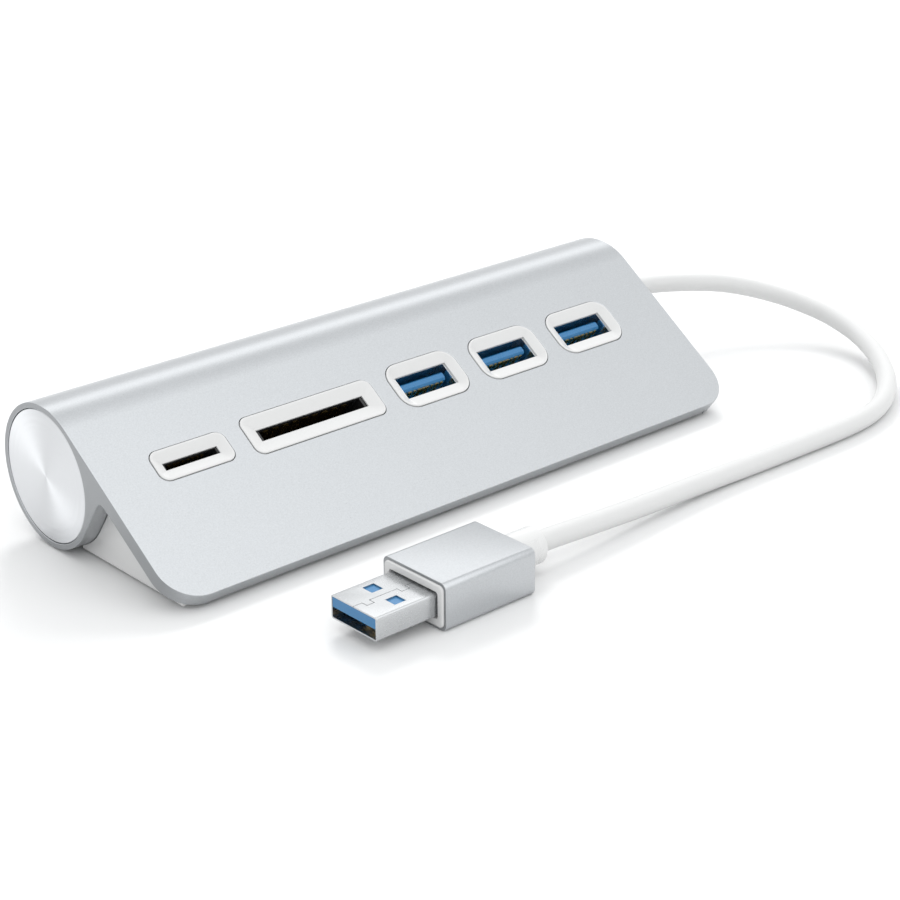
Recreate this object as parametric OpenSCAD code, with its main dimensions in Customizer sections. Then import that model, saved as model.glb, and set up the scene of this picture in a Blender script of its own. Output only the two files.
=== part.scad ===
// USB hub with three sockets and two card slots in a sloping plate, and a short captive lead.
// X runs along the hub, the plate faces -Y, Z is up and the desk is z = 0.

/* [Aluminium body] */
// Length of the extrusion
body_len = 143; // [141:0.5:175]
// Outside diameter of the round back
tube_d = 28; // [27.5:0.5:33.5]
// Wall between the round back and its bore
tube_wall = 1.1; // [1:0.05:1.6]
// Slope of the port plate against the desk
slope = 35; // [33:0.5:37]
// Thickness of the port plate
plate_t = 3.1; // [2.8:0.1:3.4]
// Height of the plate's front lower edge above the desk
front_gap = 0.7; // [0.5:0.1:1.2]
// Radius of the plate's two front corners, seen square on
plate_corner_r = 7.5; // [2:0.5:9]
// Fillet where the plate's underside meets the round back
web_fillet_r = 1.7; // [0.8:0.1:2.4]
// Solid web left at each end, beside the pocket for the electronics
end_block = 9.5; // [9:0.1:9.8]
// Gap between the round back and the desk
foot_gap = 0.4; // [0.3:0.05:0.6]

/* [End caps] */
// Depth of a cap's face below the end of the extrusion
cap_recess = 0.1; // [0.1:0.1:1.5]
// Thickness of a cap's disc
cap_t = 1.6; // [1.2:0.1:2.5]
// Length of the skirt behind a cap's disc
cap_skirt = 4; // [2:0.5:6]
// Wall of the skirt
cap_wall = 1.2; // [0.8:0.1:2]
// Clearance of a cap in the bore
cap_fit = 0.05; // [0.03:0.01:0.1]

/* [Port row] */
// Distance from the round back's tangent line down the slope to the row
port_row = 12.75; // [12.25:0.25:13.5]
// Distance from the left end to the first bezel
row_margin = 11.5; // [11.2:0.1:13]
// Gap between two bezels
bezel_gap = 4; // [3.4:0.1:4.2]
// Clearance of a bezel in its window
bezel_fit = 0.1; // [0.05:0.01:0.2]
// Height of a bezel's lip over the plate
bezel_lip = 0.12; // [0.05:0.01:0.3]
// Width of a bezel's flat lip
lip_w = 0.45; // [0.3:0.05:0.7]
// Depth of the opening's edge below the plate
funnel_depth = 0.7; // [0.4:0.1:1]
// Height of the opening's straight rim
rim_h = 0.3; // [0.2:0.05:0.6]
// Overhang of the flange under the plate
flange_w = 1.2; // [0.8:0.1:1.5]
// Thickness of that flange
flange_t = 1; // [0.8:0.1:1.2]

/* [USB sockets] */
// Width of a socket's bezel
usb_bezel_w = 17.75; // [16.5:0.25:18]
// Height of a socket's bezel
usb_bezel_h = 10.75; // [9.5:0.25:11]
// Corner radius of a socket's bezel
usb_bezel_r = 3.6; // [2:0.1:4]
// Width of the opening
usb_open_w = 13.2; // [13.2:0.05:13.6]
// Height of the opening
usb_open_h = 5.25; // [5.15:0.05:5.6]
// Outside width of the steel shell
usb_shell_w = 13.1; // [12.9:0.05:13.2]
// Outside height of the steel shell
usb_shell_h = 5.7; // [5.6:0.05:5.8]
// Sheet thickness of the shell
usb_shell_t = 0.3; // [0.25:0.05:0.35]
// Width of the tongue
tongue_w = 11.1; // [10.8:0.1:11.4]
// Thickness of the tongue
tongue_t = 1.84; // [1.7:0.02:1.9]
// Depth of the tongue's face below the shell's mouth
tongue_set = 0.9; // [0.5:0.1:3]
// Gap between the tongue and the shell's upper wall
tongue_gap = 0.95; // [0.8:0.05:1.1]

/* [Card slots] */
// Width of the larger slot's bezel
sd_bezel_w = 31.5; // [30.5:0.25:32]
// Height of the larger slot's bezel
sd_bezel_h = 8.75; // [8:0.25:9.5]
// Width of the larger opening
sd_open_w = 25.7; // [25.2:0.1:26]
// Height of the larger opening
sd_open_h = 2.6; // [2.5:0.1:2.8]
// Width of the larger card
sd_card_w = 24; // [23.9:0.1:24.2]
// Thickness of the larger card
sd_card_t = 2.1; // [2:0.05:2.2]
// Width of the smaller slot's bezel
msd_bezel_w = 16.7; // [16:0.1:17]
// Height of the smaller slot's bezel
msd_bezel_h = 6.8; // [6.4:0.1:7.5]
// Width of the smaller opening
msd_open_w = 12.1; // [11.8:0.1:12.4]
// Height of the smaller opening
msd_open_h = 1.6; // [1.5:0.05:1.8]
// Width of the smaller card
msd_card_w = 11; // [10.9:0.1:11.1]
// Thickness of the smaller card
msd_card_t = 1; // [0.9:0.05:1.05]
// Corner radius of both slot bezels
slot_bezel_r = 2; // [1.2:0.1:2.5]
// Clearance of a card in its slot, all round
card_fit = 0.15; // [0.1:0.05:0.2]
// Wall of a reader's housing round the slot
reader_wall = 1.4; // [1.2:0.1:1.6]

/* [Circuit board] */
// Gap between the main board's ends and the pocket's ends
board_margin = 2; // [1:0.25:2.5]
// Width of the main board, down the slope
board_w = 18; // [17:0.5:18]
// Thickness of the main board
board_t = 1.2; // [1:0.1:1.6]
// Depth of the board's face below the plate's face
board_depth = 13.4; // [13:0.1:13.6]
// Distance from the tangent line to the board's upper edge
board_top = 2; // [1.5:0.1:2.2]

/* [Bottom cover] */
// Distance of the cover's ends from the extrusion's ends
cover_inset = 3.5; // [3:0.1:4]
// Height of the cover's underside above the foot of the round back
cover_rise = 0.25; // [0.2:0.05:0.4]
// Thickness of the cover's floor and end walls
cover_floor = 1.4; // [1.2:0.1:1.6]
// Clearance between the cover and the body
cover_fit = 0.1; // [0.05:0.01:0.15]
// Distance of the cover's front from the plate's front edge
cover_setback = 3.6; // [3.2:0.1:4]
// Distance from the tangent line to the hooking lip
lip_at = 34; // [33:0.25:34.5]
// Height of the hooking lip
hook_h = 0.7; // [0.5:0.1:0.9]

/* [Feet and screws] */
// Length of a rubber foot
foot_len = 30; // [20:1:34]
// Width of a rubber foot
foot_w = 5; // [4:0.25:5.5]
// Thickness of a rubber foot
foot_t = 1.1; // [1:0.05:1.3]
// Distance of a foot's middle from the hub's middle
foot_x = 44; // [36:1:46]
// Shank diameter of a cover screw
screw_d = 2; // [1.6:0.1:2]
// Head diameter of a cover screw
screw_head_d = 3.8; // [3.4:0.1:4]
// Length of a cover screw under its head
screw_len = 14; // [13:0.5:15]
// Distance of a screw from the cover's end
screw_inset = 2.9; // [2.8:0.05:3.1]
// Wall of the boss round a screw
boss_wall = 1.2; // [1:0.1:1.4]

/* [Lead] */
// Diameter of the lead
cable_d = 4.2; // [4:0.1:4.4]
// Length of the gland outside the end cap
gland_len = 9.5; // [8:0.5:9.5]
// Diameter of the gland at the end cap
gland_d = 7.2; // [6.5:0.1:7.6]
// Diameter of the gland at its tip
gland_tip_d = 5.4; // [5:0.1:6]
// Length of the collar behind the plug
collar_len = 7.8; // [7:0.1:8.5]
// Diameter of that collar
collar_d = 7.2; // [6.6:0.1:7.4]

/* [Plug] */
// Length of the plug's aluminium sleeve
sleeve_len = 21; // [19:0.1:22]
// Width of the sleeve
sleeve_w = 16.4; // [14.4:0.1:17]
// Height of the sleeve
sleeve_h = 9.1; // [9:0.1:10]
// Wall of the sleeve
sleeve_wall = 0.55; // [0.4:0.05:0.8]
// Radius of the sleeve's long edges
sleeve_r = 1.3; // [0.8:0.1:1.6]
// Stand-out of the white moulding at the sleeve's two ends
mould_out = 0.35; // [0.2:0.05:0.5]
// Width of the plug's steel shell
shell_w = 12; // [11.9:0.05:12.1]
// Height of the plug's steel shell
shell_h = 4.5; // [4.4:0.05:4.6]
// Sheet thickness of the plug's shell
shell_t = 0.3; // [0.25:0.05:0.35]
// Length of the shell in front of the sleeve
shell_out = 13.5; // [12:0.1:15]
// Length of the shell held in the moulding
shell_in = 5; // [4:0.1:6]
// Thickness of the plug's insulator
insulator_t = 1.95; // [1.8:0.05:2]

/* [Hidden] */
$fn = 64;
eps = 0.01;
light_metal = [0.84, 0.86, 0.88];
white = [0.95, 0.95, 0.95];
steel = [0.75, 0.76, 0.78];
blue = [0.12, 0.42, 0.72];
black = [0.08, 0.08, 0.09];
gold = [0.83, 0.67, 0.3];
green = [0.05, 0.3, 0.18];

// the round back, and the plate's tangent line on it
tube_r = tube_d / 2;
bore_r = tube_r - tube_wall;
tube_z = tube_r + foot_gap;
plate_len = (tube_z + (tube_r - plate_t) * cos(slope) - front_gap) / sin(slope);
tube_y = (tube_r * (1 + sin(slope)) + plate_len * cos(slope)) / 2 - tube_r;
tan_y = tube_y - tube_r * sin(slope);
tan_z = tube_z + tube_r * cos(slope);
pocket_len = body_len - 2 * end_block;
board_len = pocket_len - 2 * board_margin;
pocket_depth = tube_r + 2;
pocket_top = 1.5;

// the row of bezels, from the left end
msd_x = -body_len / 2 + row_margin + msd_bezel_w / 2;
sd_x = msd_x + (msd_bezel_w + sd_bezel_w) / 2 + bezel_gap;
usb_x = [for (i = [0:2]) sd_x + (sd_bezel_w + usb_bezel_w) / 2 + bezel_gap + i * (usb_bezel_w + bezel_gap)];
socket_depth = funnel_depth + rim_h + 0.05;
socket_len = board_depth - socket_depth;
sd_slot_w = sd_card_w + 2 * card_fit;
sd_slot_h = sd_card_t + 2 * card_fit;
msd_slot_w = msd_card_w + 2 * card_fit;
msd_slot_h = msd_card_t + 2 * card_fit;

// the cover and its screws
cover_z = foot_gap + cover_rise;
cover_len = body_len - 2 * cover_inset;
cover_front = tan_y - plate_len * cos(slope) + cover_setback;
nose_len = 3.6;
ledge_len = 3;
front_foot_y = cover_front + 7;
cover_rear = tube_y - 5.2;
post_s = 17.5;
screw_x = cover_len / 2 - screw_inset;
screw_y = tube_y - bore_r - 2.15;
head_h = 1.2;
hook_w = 1.2;

// the lead's route, from the gland's tip to the plug's collar
exit_x = body_len / 2 - cap_recess + gland_len;
plug_z = sleeve_h / 2;
collar_end = [-11.2, -52.8];
route = [[exit_x, tube_y, tube_z], [exit_x + 3, tube_y, tube_z], [88, 12.9, 14.1], [94, 11.8, 13.4],
    [100, 9.9, 12.6], [105.5, 7.3, 11.8], [110, 3.9, 10.8], [113.5, 0, 9.7], [116, -4.2, 8.7],
    [117.6, -8.8, 7.7], [118.4, -13.6, 6.8], [118.2, -18.5, 5.9], [117.2, -23.4, 5.1], [115.2, -28.1, 4.5],
    [112.4, -32.9, 4], [109, -37.4, 3.5], [104.9, -41.8, 3], [100.2, -45.6, 2.7], [95, -48.8, 2.4],
    [89.4, -51, 2.2], [83, -52.3, 2.1], [75, -52.7, 2.1], [66, -52.6, 2.1], [57, -52.4, 2.1],
    [48, -52.1, 2.1], [39, -52, 2.3], [30, -52.1, 2.6], [21, -52.4, 3], [12, -52.7, 3.5],
    [4, -52.9, 4], [-4, -52.85, 4.4], [collar_end[0] + 3, collar_end[1], plug_z],
    [collar_end[0], collar_end[1], plug_z]];
plug_x = collar_end[0] - collar_len;
inner_end = body_len / 2 - 9;
wire_count = 5;
header_s = 4.6;
header_size = [9, 4, 3];
header_x = board_len / 2 - header_size[0] / 2 - 0.5;
wire_r = 0.25;
wire_pitch = 0.8;

// places of the chips under the board, and of the posts that hold it up
hub_chip_x = usb_x[1] - 3;
reader_chip_x = sd_x - 10.5;
regulator_x = usb_x[2] - 4.5;
chip_s = 8;
post_x = [msd_x + 1.5, sd_x + 11.5, usb_x[1] - 9, usb_x[2] + 5.5];

// the readers' contact grooves and the plug's insides
groove_h = 0.6;
mould_w = sleeve_w - 2 * sleeve_wall - 0.04;
mould_h = sleeve_h - 2 * sleeve_wall - 0.04;
cavity_len = 7;

function sub(a, b) = [for (i = [0:2]) a[i] - b[i]];
function unit(v) = v / norm(v);
function tangent(p, i) = unit(sub(p[min(i + 1, len(p) - 1)], p[max(i - 1, 0)]));
function ring(c, t, r, n) = let (side = unit(cross(t, [0, 0, 1])), up = cross(side, t))
    [for (k = [0:n - 1]) c + r * cos(360 * k / n) * side + r * sin(360 * k / n) * up];

// x along the hub, y up the slope and z out of the plate, with the plate's face at z = 0
module on_plate(x = 0, s = port_row) {
    translate([x, tan_y, tan_z]) rotate([slope, 0, 0]) translate([0, -s, 0]) children();
}

// an outline drawn in Y and Z, drawn out along X and centred
module along_x(length) {
    rotate([90, 0, 90]) linear_extrude(length, center = true) children();
}

module round_rect(w, h, r) {
    square([w - 2 * r, h], center = true);
    square([w, h - 2 * r], center = true);
    for (sx = [-1, 1], sy = [-1, 1]) translate([sx * (w / 2 - r), sy * (h / 2 - r)]) circle(r);
}

module block(size, x = 0, y = 0, top = 0) {
    translate([x - size[0] / 2, y - size[1] / 2, top - size[2]]) cube(size);
}

module rod(a, b, r) {
    v = sub(b, a);
    translate(a) rotate([0, acos(v[2] / norm(v)), atan2(v[1], v[0])]) cylinder(h = norm(v), r = r);
}

// outline of the extrusion: round back, square nose, plate and fillet, in the plate's own frame
module body_section() {
    translate([0, -tube_r]) circle(tube_r);
    polygon([[-plate_len, 0], [-plate_len, -plate_t], [-tube_r, -plate_t], [-tube_r, -tube_r],
        [0, -tube_r], [0, 0]]);
    translate([-tube_r - web_fillet_r, -plate_t - web_fillet_r]) difference() {
        square(web_fillet_r + eps);
        circle(web_fillet_r);
    }
}

module window(w, h, r) {
    translate([0, 0, -plate_t - 2]) linear_extrude(plate_t + 3) round_rect(w, h, r);
}

module plate_corner(side) {
    r = plate_corner_r;
    translate([side * (body_len / 2 - r), -plate_len + r, -plate_t - 1]) difference() {
        translate([side > 0 ? 0 : -r - 1, -r - 1, 0]) cube([r + 1, r + 1, plate_t + 2]);
        translate([0, 0, -1]) cylinder(h = plate_t + 4, r = r);
    }
}

module foot_groove(y, z) {
    for (side = [-1, 1]) translate([side * foot_x - foot_len / 2 - cover_fit, y - foot_w / 2 - cover_fit, z - 5])
        cube([foot_len + 2 * cover_fit, foot_w + 2 * cover_fit, 5]);
}

module body_extrusion() {
    color(light_metal) difference() {
        on_plate(0, 0) along_x(body_len) body_section();
        translate([0, tube_y, tube_z]) rotate([0, 90, 0]) cylinder(h = body_len + 2, r = bore_r, center = true);
        on_plate(0, 0) translate([-pocket_len / 2, -tube_r - web_fillet_r - 1, -pocket_depth])
            cube([pocket_len, tube_r + web_fillet_r + 1 - pocket_top, pocket_depth - plate_t]);
        on_plate(msd_x) window(msd_bezel_w, msd_bezel_h, slot_bezel_r);
        on_plate(sd_x) window(sd_bezel_w, sd_bezel_h, slot_bezel_r);
        for (x = usb_x) on_plate(x) window(usb_bezel_w, usb_bezel_h, usb_bezel_r);
        for (side = [-1, 1]) on_plate(0, 0) plate_corner(side);
        on_plate(0, lip_at) block([cover_len, hook_w + 2 * cover_fit, hook_h + cover_fit + 1], 0, 0,
            -plate_t + hook_h + cover_fit);
        for (side = [-1, 1]) translate([side * screw_x, screw_y, cover_z])
            cylinder(h = screw_len + head_h + 1, d = screw_d + 2 * cover_fit);
        foot_groove(tube_y, foot_t);
    }
}

module cap_disc() {
    disc_r = bore_r - cap_fit;
    rotate_extrude($fn = 96) polygon([[0, 0], [disc_r - 0.3, 0], [disc_r, -0.3], [disc_r, -cap_t - cap_skirt],
        [disc_r - cap_wall, -cap_t - cap_skirt], [disc_r - cap_wall, -cap_t], [0, -cap_t]]);
}

module left_end_cap() {
    color(light_metal) translate([-body_len / 2 + cap_recess, tube_y, tube_z]) rotate([0, -90, 0]) cap_disc();
}

module right_end_cap() {
    color(light_metal) translate([body_len / 2 - cap_recess, tube_y, tube_z]) rotate([0, 90, 0]) difference() {
        cap_disc();
        cylinder(h = 20, d = gland_d - 1.2 + 2 * cover_fit, center = true);
    }
}

// the cover fills the wedge between the round back, the plate's underside and the desk
module cover_section() {
    web_s = tube_r + cover_fit;
    under = plate_t + cover_fit;
    front_top = tan_z + under * -cos(slope) - (tan_y + under * sin(slope) - cover_front) * tan(slope);
    difference() {
        polygon([[cover_front, cover_z], [cover_rear, cover_z], [tube_y, tube_z], slope_point(web_s, tube_r),
            slope_point(web_s, under + web_fillet_r + 0.3), slope_point(web_s + web_fillet_r + 0.3, under),
            [cover_front, front_top]]);
        translate([tube_y, tube_z]) circle(tube_r + cover_fit);
    }
}

function slope_point(s, depth) = [tan_y - s * cos(slope) + depth * sin(slope),
    tan_z - s * sin(slope) - depth * cos(slope)];

module cover_posts() {
    post_y = slope_point(post_s, board_depth + board_t)[0];
    for (x = post_x) translate([x, post_y, cover_z]) cylinder(h = tube_r, r = 1.5);
}

module bottom_cover() {
    wall_z = cover_z + cover_floor;
    color(white) difference() {
        union() {
            difference() {
                along_x(cover_len) cover_section();
                translate([-cover_len / 2 + cover_floor, cover_front + nose_len, wall_z])
                    cube([cover_len - 2 * cover_floor, cover_rear - ledge_len - cover_front - nose_len, tube_d]);
            }
            intersection() {
                along_x(cover_len) cover_section();
                for (side = [-1, 1]) translate([side * screw_x, screw_y, cover_z])
                    cylinder(h = tube_d, r = screw_d / 2 + boss_wall);
            }
            difference() {
                cover_posts();
                on_plate(0, 0) block([board_len, 40, 40], 0, -20, 40 - board_depth - board_t);
            }
            on_plate(0, lip_at) block([cover_len - 1, hook_w, hook_h + cover_fit + 0.4], 0, 0, -plate_t + hook_h);
        }
        for (side = [-1, 1]) translate([side * screw_x, screw_y, cover_z - 1]) {
            cylinder(h = tube_d, d = screw_d + 2 * cover_fit);
            cylinder(h = head_h + 1, d = screw_head_d + 2 * cover_fit);
        }
        foot_groove(front_foot_y, foot_t);
    }
}

module cover_screws() {
    color(steel) for (side = [-1, 1]) translate([side * screw_x, screw_y, cover_z + 0.1]) difference() {
        union() {
            cylinder(h = head_h - 0.1, d = screw_head_d);
            translate([0, 0, head_h - 0.2]) cylinder(h = screw_len, d = screw_d);
        }
        for (a = [0, 90]) rotate(a) translate([0, 0, 0.3]) cube([2, 0.5, 0.8], center = true);
    }
}

module rubber_feet() {
    color([0.3, 0.3, 0.31]) for (side = [-1, 1]) {
        translate([side * foot_x - foot_len / 2, tube_y - foot_w / 2, 0]) cube([foot_len, foot_w, foot_t]);
        translate([side * foot_x - foot_len / 2, front_foot_y - foot_w / 2, 0])
            cube([foot_len, foot_w, foot_t]);
    }
}

// white bezel: lip, funnel down to a square-cornered opening, flange under the plate, pocket for its connector
module bezel(w, h, r, open_w, open_h, pocket_w, pocket_h) {
    back = plate_t + bezel_fit + flange_t;
    difference() {
        union() {
            translate([0, 0, -back]) linear_extrude(back + bezel_lip)
                round_rect(w - 2 * bezel_fit, h - 2 * bezel_fit, r - bezel_fit);
            translate([0, 0, -back]) linear_extrude(flange_t)
                round_rect(w + 2 * flange_w, h + 2 * flange_w, r + flange_w);
        }
        hull() {
            translate([0, 0, bezel_lip]) linear_extrude(eps)
                round_rect(w - 2 * lip_w, h - 2 * lip_w, r - lip_w, $fn = 32);
            translate([0, 0, -funnel_depth]) linear_extrude(eps) square([open_w, open_h], center = true);
        }
        block([open_w, open_h, plate_t], 0, 0, -funnel_depth + eps / 2);
        block([pocket_w + 2 * bezel_fit, pocket_h + 2 * bezel_fit, back], 0, 0, -funnel_depth - rim_h);
    }
}

module usb_bezel(i) {
    color(white) on_plate(usb_x[i])
        bezel(usb_bezel_w, usb_bezel_h, usb_bezel_r, usb_open_w, usb_open_h, usb_shell_w, usb_shell_h);
}
module sd_bezel() {
    color(white) on_plate(sd_x) bezel(sd_bezel_w, sd_bezel_h, slot_bezel_r, sd_open_w, sd_open_h,
        sd_slot_w + 2 * reader_wall, sd_slot_h + 2 * reader_wall);
}
module microsd_bezel() {
    color(white) on_plate(msd_x) bezel(msd_bezel_w, msd_bezel_h, slot_bezel_r, msd_open_w, msd_open_h,
        msd_slot_w + 2 * reader_wall, msd_slot_h + 2 * reader_wall);
}

// steel shell of a socket, with two spring windows in each broad wall
module usb_shell(i) {
    spring_w = 2.2;
    spring_l = 5;
    color(steel) on_plate(usb_x[i]) difference() {
        block([usb_shell_w, usb_shell_h, socket_len], 0, 0, -socket_depth);
        block([usb_shell_w - 2 * usb_shell_t, usb_shell_h - 2 * usb_shell_t, socket_len + 2], 0, 0,
            -socket_depth + 1);
        for (side = [-1, 1]) block([spring_w, usb_shell_h + 2, spring_l], side * 3, 0, -socket_depth - 4);
    }
}

// blue tongue towards the upper wall, on a base that closes the shell's back
module usb_tongue(i) {
    inner_h = usb_shell_h - 2 * usb_shell_t;
    mid_y = inner_h / 2 - tongue_gap - tongue_t / 2;
    front = -socket_depth - tongue_set;
    base_l = 3.2;
    nose = 0.4;
    color(blue) on_plate(usb_x[i]) union() {
        translate([0, mid_y, 0]) rotate([0, 90, 0]) linear_extrude(tongue_w, center = true)
            polygon([[-front, tongue_t / 2 - nose], [-front, -tongue_t / 2 + nose],
                [-front + nose, -tongue_t / 2], [board_depth - base_l + eps, -tongue_t / 2],
                [board_depth - base_l + eps, tongue_t / 2], [-front + nose, tongue_t / 2]]);
        block([usb_shell_w - 2 * usb_shell_t - 0.1, inner_h - 0.1, base_l], 0, 0, -board_depth + base_l);
    }
}

module usb_contacts(i) {
    inner_h = usb_shell_h - 2 * usb_shell_t;
    face_y = inner_h / 2 - tongue_gap - tongue_t;
    strip_t = 0.15;
    color(gold) on_plate(usb_x[i]) {
        for (x = [-3.5, -1, 1, 3.5]) block([1, strip_t, 5.6], x, face_y - strip_t / 2, -socket_depth - tongue_set - 0.8);
        for (x = [-4.75, -2.25, 0, 2.25, 4.75])
            block([0.6, strip_t, 1.4], x, face_y - strip_t / 2, -socket_depth - tongue_set - 0.8);
    }
}

// card reader: moulded housing with the slot, sheet shield round it, contacts on the slot's upper wall
module reader_housing(slot_w, slot_h) {
    difference() {
        block([slot_w + 2 * reader_wall, slot_h + 2 * reader_wall, socket_len], 0, 0, -socket_depth);
        block([slot_w, slot_h, socket_len - 1], 0, 0, -socket_depth + eps);
        block([slot_w - 2, 2 * groove_h, socket_len - 1.6], 0, slot_h / 2, -socket_depth - 0.6);
    }
}

module reader_shield(slot_w, slot_h) {
    sheet = 0.2;
    w = slot_w + 2 * reader_wall;
    h = slot_h + 2 * reader_wall;
    top = -plate_t - bezel_fit - flange_t - 0.2;
    difference() {
        block([w + 2 * sheet, h + 2 * sheet, board_depth + top], 0, 0, top);
        block([w + 0.02, h + 0.02, 2 * board_depth], 0, 0, top + 1);
    }
}

module reader_contacts(slot_w, slot_h, count) {
    pitch = (slot_w - 3) / count;
    for (k = [0:count - 1]) block([0.55 * pitch, groove_h - 0.1, 7], (k - (count - 1) / 2) * pitch,
        slot_h / 2 + (groove_h + 0.1) / 2, -socket_depth - 1.6);
}

module sd_housing() { color(black) on_plate(sd_x) reader_housing(sd_slot_w, sd_slot_h); }
module sd_shield() { color(steel) on_plate(sd_x) reader_shield(sd_slot_w, sd_slot_h); }
module sd_contacts() { color(gold) on_plate(sd_x) reader_contacts(sd_slot_w, sd_slot_h, 9); }
module microsd_housing() { color(black) on_plate(msd_x) reader_housing(msd_slot_w, msd_slot_h); }
module microsd_shield() { color(steel) on_plate(msd_x) reader_shield(msd_slot_w, msd_slot_h); }
module microsd_contacts() { color(gold) on_plate(msd_x) reader_contacts(msd_slot_w, msd_slot_h, 8); }

module main_board() {
    color(green) on_plate(0, board_top + board_w / 2) translate([0, 0, -board_depth - board_t])
        linear_extrude(board_t) round_rect(board_len, board_w, 1);
}

// a part soldered under the board, s down the slope from the tangent line
module under_board(x, s) { on_plate(x, s) translate([0, 0, -board_depth - board_t]) children(); }

module hub_controller() { color(black) under_board(hub_chip_x, chip_s) block([9, 9, 0.9]); }
module reader_controller() { color(black) under_board(reader_chip_x, chip_s) block([7, 7, 0.9]); }
module crystals() {
    color(steel) for (x = [hub_chip_x, reader_chip_x]) under_board(x - 7.5, chip_s) block([3.2, 2.5, 0.8]);
}
module regulator() { color(black) under_board(regulator_x, chip_s) block([6.5, 3.5, 1.6]); }
module capacitors() {
    can_d = 4;
    can_h = 5.4;
    color(steel) for (x = usb_x) under_board(x + 4, 6)
        translate([0, 0, -can_h]) cylinder(h = can_h, d = can_d);
}
module chip_parts() {
    chip = [1.6, 0.8, 0.7];
    color([0.6, 0.5, 0.4]) {
        for (k = [-1:1], s = [5, 10]) under_board(msd_x + 4 * k, s) block(chip);
        for (k = [-1:6], s = [4.5, 9, 11.5]) under_board(sd_x + 4 * k, s) block(chip);
    }
}

module lead_header() {
    color(white) on_plate(header_x, header_s) difference() {
        block(header_size, 0, 0, -board_depth + header_size[2]);
        for (k = [0:wire_count - 1]) block([1.1, 1.2, header_size[2] - 1], (k - 2) * 1.6, 0.8,
            -board_depth + header_size[2] + eps);
    }
}

// a point on the plate's frame as x, y, z of the hub
function at_plate(x, s, depth) = concat([x], slope_point(s, depth));

// each core comes out of the lead, passes over the board's end and runs to the header
module lead_wires() {
    colours = ["red", "white", "green", "blue", "black"];
    header_end = header_x + header_size[0] / 2;
    for (k = [0:wire_count - 1]) let (out = wire_pitch * (k - (wire_count - 1) / 2)) color(colours[k])
        intersection() {
            rod(at_plate(inner_end + 1, out, tube_r),
                at_plate(header_end - 1, header_s + out, board_depth - header_size[2] + 0.8), wire_r);
            translate([header_end, 0, 0]) cube([inner_end - header_end, tube_d, tube_d]);
        }
}

module inner_lead() {
    color(white) translate([inner_end, tube_y, tube_z]) rotate([0, 90, 0])
        cylinder(h = exit_x - inner_end, d = cable_d);
}

module cable_gland() {
    neck = gland_d / 2 - 0.6;
    color(white) translate([body_len / 2 - cap_recess, tube_y, tube_z]) rotate([0, 90, 0]) rotate_extrude()
        polygon([[cable_d / 2 + eps, -cap_t - 1.5], [gland_d / 2 + 1, -cap_t - 1.5], [gland_d / 2 + 1, -cap_t - 0.02],
            [neck, -cap_t - 0.02], [neck, 0.02], [gland_d / 2, 0.02], [gland_d / 2, 1.5],
            [gland_tip_d / 2, gland_len], [cable_d / 2 + eps, gland_len]]);
}

module cable() {
    sides = 12;
    rings = len(route);
    points = [for (i = [0:rings - 1]) each ring(route[i], tangent(route, i), cable_d / 2, sides)];
    start = [for (k = [0:sides - 1]) k];
    finish = [for (k = [sides - 1:-1:0]) (rings - 1) * sides + k];
    walls = [for (i = [0:rings - 2], k = [0:sides - 1])
        [i * sides + k, (i + 1) * sides + k, (i + 1) * sides + (k + 1) % sides, i * sides + (k + 1) % sides]];
    color(white) polyhedron(points, concat([start, finish], walls));
}

// the plug points along -X; x = 0 is the rear end of its sleeve
module at_plug(x = 0) { translate([plug_x + x, collar_end[1], plug_z]) children(); }

module plug_collar() {
    edge = 0.5;
    color(white) at_plug() rotate([0, 90, 0]) rotate_extrude() polygon([[cable_d / 2 + eps, -1.8],
        [collar_d / 2, -1.8], [collar_d / 2, collar_len - edge], [collar_d / 2 - edge, collar_len],
        [cable_d / 2 + eps, collar_len]]);
}
module plug_sleeve() {
    color(light_metal) at_plug(-sleeve_len / 2) along_x(sleeve_len) difference() {
        round_rect(sleeve_w, sleeve_h, sleeve_r);
        round_rect(sleeve_w - 2 * sleeve_wall, sleeve_h - 2 * sleeve_wall, sleeve_r - sleeve_wall / 2);
    }
}
module plug_moulding() {
    gap = 0.3;
    mouth = 1.6;
    length = sleeve_len + 2 * mould_out;
    color(white) difference() {
        at_plug(-sleeve_len / 2) along_x(length) round_rect(mould_w, mould_h, sleeve_r - sleeve_wall / 2);
        at_plug(-sleeve_len) along_x(2 * mouth) square([shell_w + 2 * gap, shell_h + 2 * gap], center = true);
        at_plug(-sleeve_len) along_x(2 * shell_in + 0.04) square([shell_w + 0.04, shell_h + 0.04], center = true);
        at_plug(-sleeve_len + shell_in + cavity_len / 2) along_x(cavity_len) square([shell_w - 1, shell_h], center = true);
        at_plug() rotate([0, 90, 0]) cylinder(h = 3.62, d = collar_d + 0.04, center = true);
        at_plug(-sleeve_len + shell_in + 1) rotate([0, 90, 0]) cylinder(h = sleeve_len, d = cable_d + 0.04);
    }
}

// seam of the folded shell: a butt joint along the top with two dovetail locks
module shell_seam() {
    gap = 0.1;
    lock = 1.3;
    runs = [[0, 1.9, 0], [1.9, 3.5, -lock], [3.5, 9.6, 0], [9.6, 11.4, -lock], [11.4, shell_out + shell_in, 0]];
    for (run = runs) translate([run[0] - gap / 2, run[2] - gap / 2, 0]) cube([run[1] - run[0] + gap, gap, shell_h]);
    for (x = [1.9, 3.5, 9.6, 11.4]) translate([x - gap / 2, -lock - gap / 2, 0]) cube([gap, lock + gap, shell_h]);
}

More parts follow.
